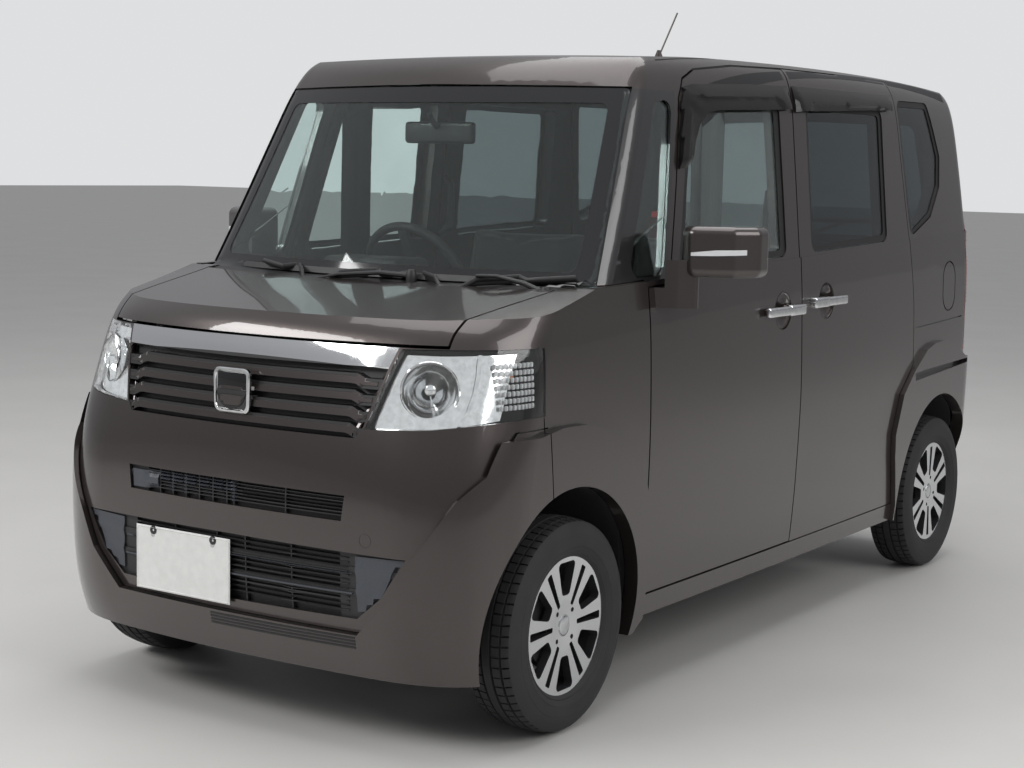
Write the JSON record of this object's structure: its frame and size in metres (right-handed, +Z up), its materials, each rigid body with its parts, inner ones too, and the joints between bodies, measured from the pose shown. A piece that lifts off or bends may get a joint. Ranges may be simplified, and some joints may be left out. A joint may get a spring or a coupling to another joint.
{
  "type": "kei car, tall five-door wagon with sliding rear doors",
  "caption": "Small tall wagon with boxy cabin, hinged front doors, sliding rear doors, lift-up tailgate and bonnet, on steerable alloy wheels.",
  "frame": {"origin": "on the ground, at the middle of the length and width", "axes": "+X the car's left side, +Y to the rear, +Z up"},
  "size_m": [1.896, 3.3986, 1.9155],
  "materials": {
    "body_paint": "warm grey-brown metallic, glossy",
    "clear_glass": "clear, faint green",
    "tinted_glass": "dark privacy tint",
    "black_plastic": "satin grained",
    "lamp_glass": "clear lens over bright reflectors",
    "red_lamp": "glossy red lens",
    "dark_steel": "satin chassis black",
    "reflector": "bright mirror coat in the lamp housings",
    "seat_cloth": "dark woven cloth",
    "pipe_steel": "dull steel",
    "tyre_rubber": "matt black rubber",
    "rim_alloy": "turned face, dark pockets"
  },
  "bodies": {
    "body": {"side_body_left": "body_paint", "side_body_right": "body_paint", "sliding_doors": "body_paint", "privacy_windows": "tinted_glass", "front_glass": "clear_glass", "roof_panel": "body_paint", "front_fenders": "body_paint", "front_bumper": "body_paint", "rear_bumper": "body_paint", "wheel_liners": "black_plastic", "upper_grille": "black_plastic", "lower_grille": "black_plastic", "cowl": "black_plastic", "headlamps": "lamp_glass", "lamp_bowls": "reflector", "tail_lamps": "red_lamp", "floor_pan": "dark_steel", "firewall": "dark_steel", "seats": "seat_cloth", "dashboard": "black_plastic", "engine_block": "dark_steel", "fuel_tank": "black_plastic", "exhaust": "pipe_steel", "rear_axle": "dark_steel", "front_suspension": "dark_steel"},
    "front_door_left": {"front_door_left": "body_paint", "door_window_left": "clear_glass", "mirror_left": "body_paint"},
    "front_door_right": {"front_door_right": "body_paint", "door_window_right": "clear_glass", "mirror_right": "body_paint"},
    "bonnet": {"bonnet": "body_paint"},
    "tailgate": {"tailgate": "body_paint", "tailgate_window": "tinted_glass"},
    "fuel_lid": {"fuel_lid": "body_paint"},
    "steering_wheel": {"steering_wheel": "black_plastic"},
    "knuckle_left": {"knuckle_left": "dark_steel"},
    "knuckle_right": {"knuckle_right": "dark_steel"},
    "wheel_front_left": {"tyre_front_left": "tyre_rubber", "rim_front_left": "rim_alloy"},
    "wheel_front_right": {"tyre_front_right": "tyre_rubber", "rim_front_right": "rim_alloy"},
    "wheel_rear_left": {"tyre_rear_left": "tyre_rubber", "rim_rear_left": "rim_alloy"},
    "wheel_rear_right": {"tyre_rear_right": "tyre_rubber", "rim_rear_right": "rim_alloy"}
  },
  "joints": [
    {"name": "front_left_door_swing", "type": "hinge", "parent": "body", "child": "front_door_left", "pos_m": [0.7265, -0.8205, 0.9], "axis": [0, 0, -1], "range_deg": [0, 65]},
    {"name": "front_right_door_swing", "type": "hinge", "parent": "body", "child": "front_door_right", "pos_m": [-0.7265, -0.8205, 0.9], "axis": [0, 0, 1], "range_deg": [0, 65]},
    {"name": "bonnet_lift", "type": "hinge", "parent": "body", "child": "bonnet", "pos_m": [0, -1.13, 1.126], "axis": [-1, 0, 0], "range_deg": [0, 45]},
    {"name": "tailgate_lift", "type": "hinge", "parent": "body", "child": "tailgate", "pos_m": [0, 1.5035, 1.7455], "axis": [1, 0, 0], "range_deg": [0, 80]},
    {"name": "fuel_lid_swing", "type": "hinge", "parent": "body", "child": "fuel_lid", "pos_m": [0.724, 1.3245, 1.034], "axis": [0, 0, -1], "range_deg": [0, 90]},
    {"name": "steering_wheel_turn", "type": "hinge", "parent": "body", "child": "steering_wheel", "pos_m": [-0.33, -0.4725, 1.084], "axis": [0, 0.9063, 0.4226], "range_deg": [-630, 630]},
    {"name": "steer_left", "type": "hinge", "parent": "body", "child": "knuckle_left", "pos_m": [0.6, -1.2075, 0.2785], "axis": [0, 0, 1], "range_deg": [-35, 35]},
    {"name": "steer_right", "type": "hinge", "parent": "body", "child": "knuckle_right", "pos_m": [-0.6, -1.2075, 0.2785], "axis": [0, 0, 1], "range_deg": [-35, 35]},
    {"name": "front_left_wheel_spin", "type": "hinge", "parent": "knuckle_left", "child": "wheel_front_left", "pos_m": [0.6525, -1.2075, 0.2785], "axis": [1, 0, 0], "continuous": true},
    {"name": "front_right_wheel_spin", "type": "hinge", "parent": "knuckle_right", "child": "wheel_front_right", "pos_m": [-0.6525, -1.2075, 0.2785], "axis": [1, 0, 0], "continuous": true},
    {"name": "rear_left_wheel_spin", "type": "hinge", "parent": "body", "child": "wheel_rear_left", "pos_m": [0.6525, 1.3125, 0.2785], "axis": [1, 0, 0], "continuous": true},
    {"name": "rear_right_wheel_spin", "type": "hinge", "parent": "body", "child": "wheel_rear_right", "pos_m": [-0.6525, 1.3125, 0.2785], "axis": [1, 0, 0], "continuous": true}
  ],
  "couplings": [
    {"joint": "steer_left", "follows": "steering_wheel_turn", "ratio": 0.055555},
    {"joint": "steer_right", "follows": "steering_wheel_turn", "ratio": 0.055555}
  ]
}
